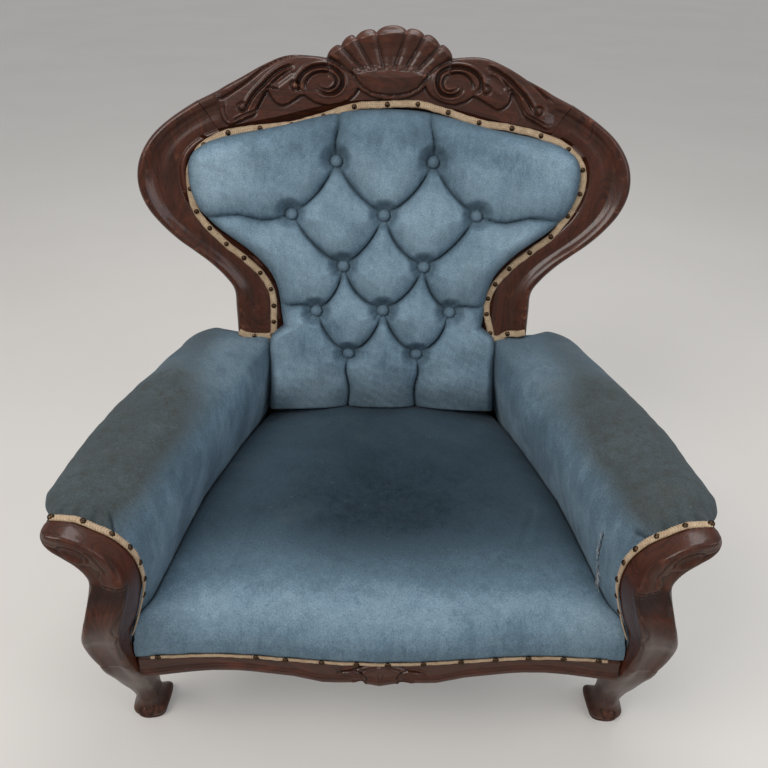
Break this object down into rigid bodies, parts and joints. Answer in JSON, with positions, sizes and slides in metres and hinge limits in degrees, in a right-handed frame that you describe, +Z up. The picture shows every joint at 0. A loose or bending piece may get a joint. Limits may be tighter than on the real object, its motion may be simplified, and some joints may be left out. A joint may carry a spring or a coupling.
{
  "type": "upholstered armchair",
  "caption": "Low balloon-back armchair with a carved dark wood frame, a deep-buttoned velvet back, padded scroll arms and a sprung seat that has sunk with use.",
  "frame": {"origin": "middle of the bounding box, at the floor under the feet", "axes": "+Z up, the chair faces -Y, +X is to the right seen from the front"},
  "size_m": [0.8858, 0.6936, 0.99],
  "materials": {
    "show_wood": "dark mahogany stain under worn gloss lacquer",
    "frame_wood": "plain sawn beech",
    "velvet": "faded dusty blue velvet",
    "seat_velvet": "darkened blue velvet, worn and soiled by sitting",
    "arm_velvet": "blue velvet stained grey-brown by hands",
    "braid": "beige woven braid",
    "jute": "brown jute cloth and webbing",
    "spring_steel": "dull drawn wire",
    "cambric": "thin black dust cloth"
  },
  "bodies": {
    "root": {"crest_rail": "show_wood", "front_rail": "show_wood", "stile_left": "show_wood", "stile_right": "show_wood", "front_post_left": "show_wood", "front_post_right": "show_wood", "rear_leg_left": "show_wood", "rear_leg_right": "show_wood", "back_rail": "frame_wood", "tack_rail": "frame_wood", "side_rail_left": "frame_wood", "side_rail_right": "frame_wood", "arm_rail_left": "frame_wood", "arm_rail_right": "frame_wood", "corner_block_front_left": "frame_wood", "corner_block_front_right": "frame_wood", "corner_block_rear_left": "frame_wood", "corner_block_rear_right": "frame_wood", "back_pad": "velvet", "outside_back": "velvet", "outside_arm_left": "velvet", "outside_arm_right": "velvet", "back_button_1": "velvet", "back_button_2": "velvet", "back_button_3": "velvet", "back_button_4": "velvet", "back_button_5": "velvet", "back_button_6": "velvet", "back_button_7": "velvet", "back_button_8": "velvet", "back_button_9": "velvet", "back_button_10": "velvet", "back_button_11": "velvet", "back_button_12": "velvet", "seat_pad": "seat_velvet", "arm_pad_left": "arm_velvet", "arm_pad_right": "arm_velvet", "back_gimp": "braid", "seat_gimp": "braid", "arm_gimp_left": "braid", "arm_gimp_right": "braid", "spring_hessian": "jute", "back_hessian": "jute", "webbing_long_1": "jute", "webbing_long_2": "jute", "webbing_long_3": "jute", "webbing_cross_1": "jute", "webbing_cross_2": "jute", "webbing_cross_3": "jute", "seat_spring_1": "spring_steel", "seat_spring_2": "spring_steel", "seat_spring_3": "spring_steel", "seat_spring_4": "spring_steel", "seat_spring_5": "spring_steel", "seat_spring_6": "spring_steel", "seat_spring_7": "spring_steel", "seat_spring_8": "spring_steel", "seat_spring_9": "spring_steel", "dust_cover": "cambric"}
  },
  "joints": []
}
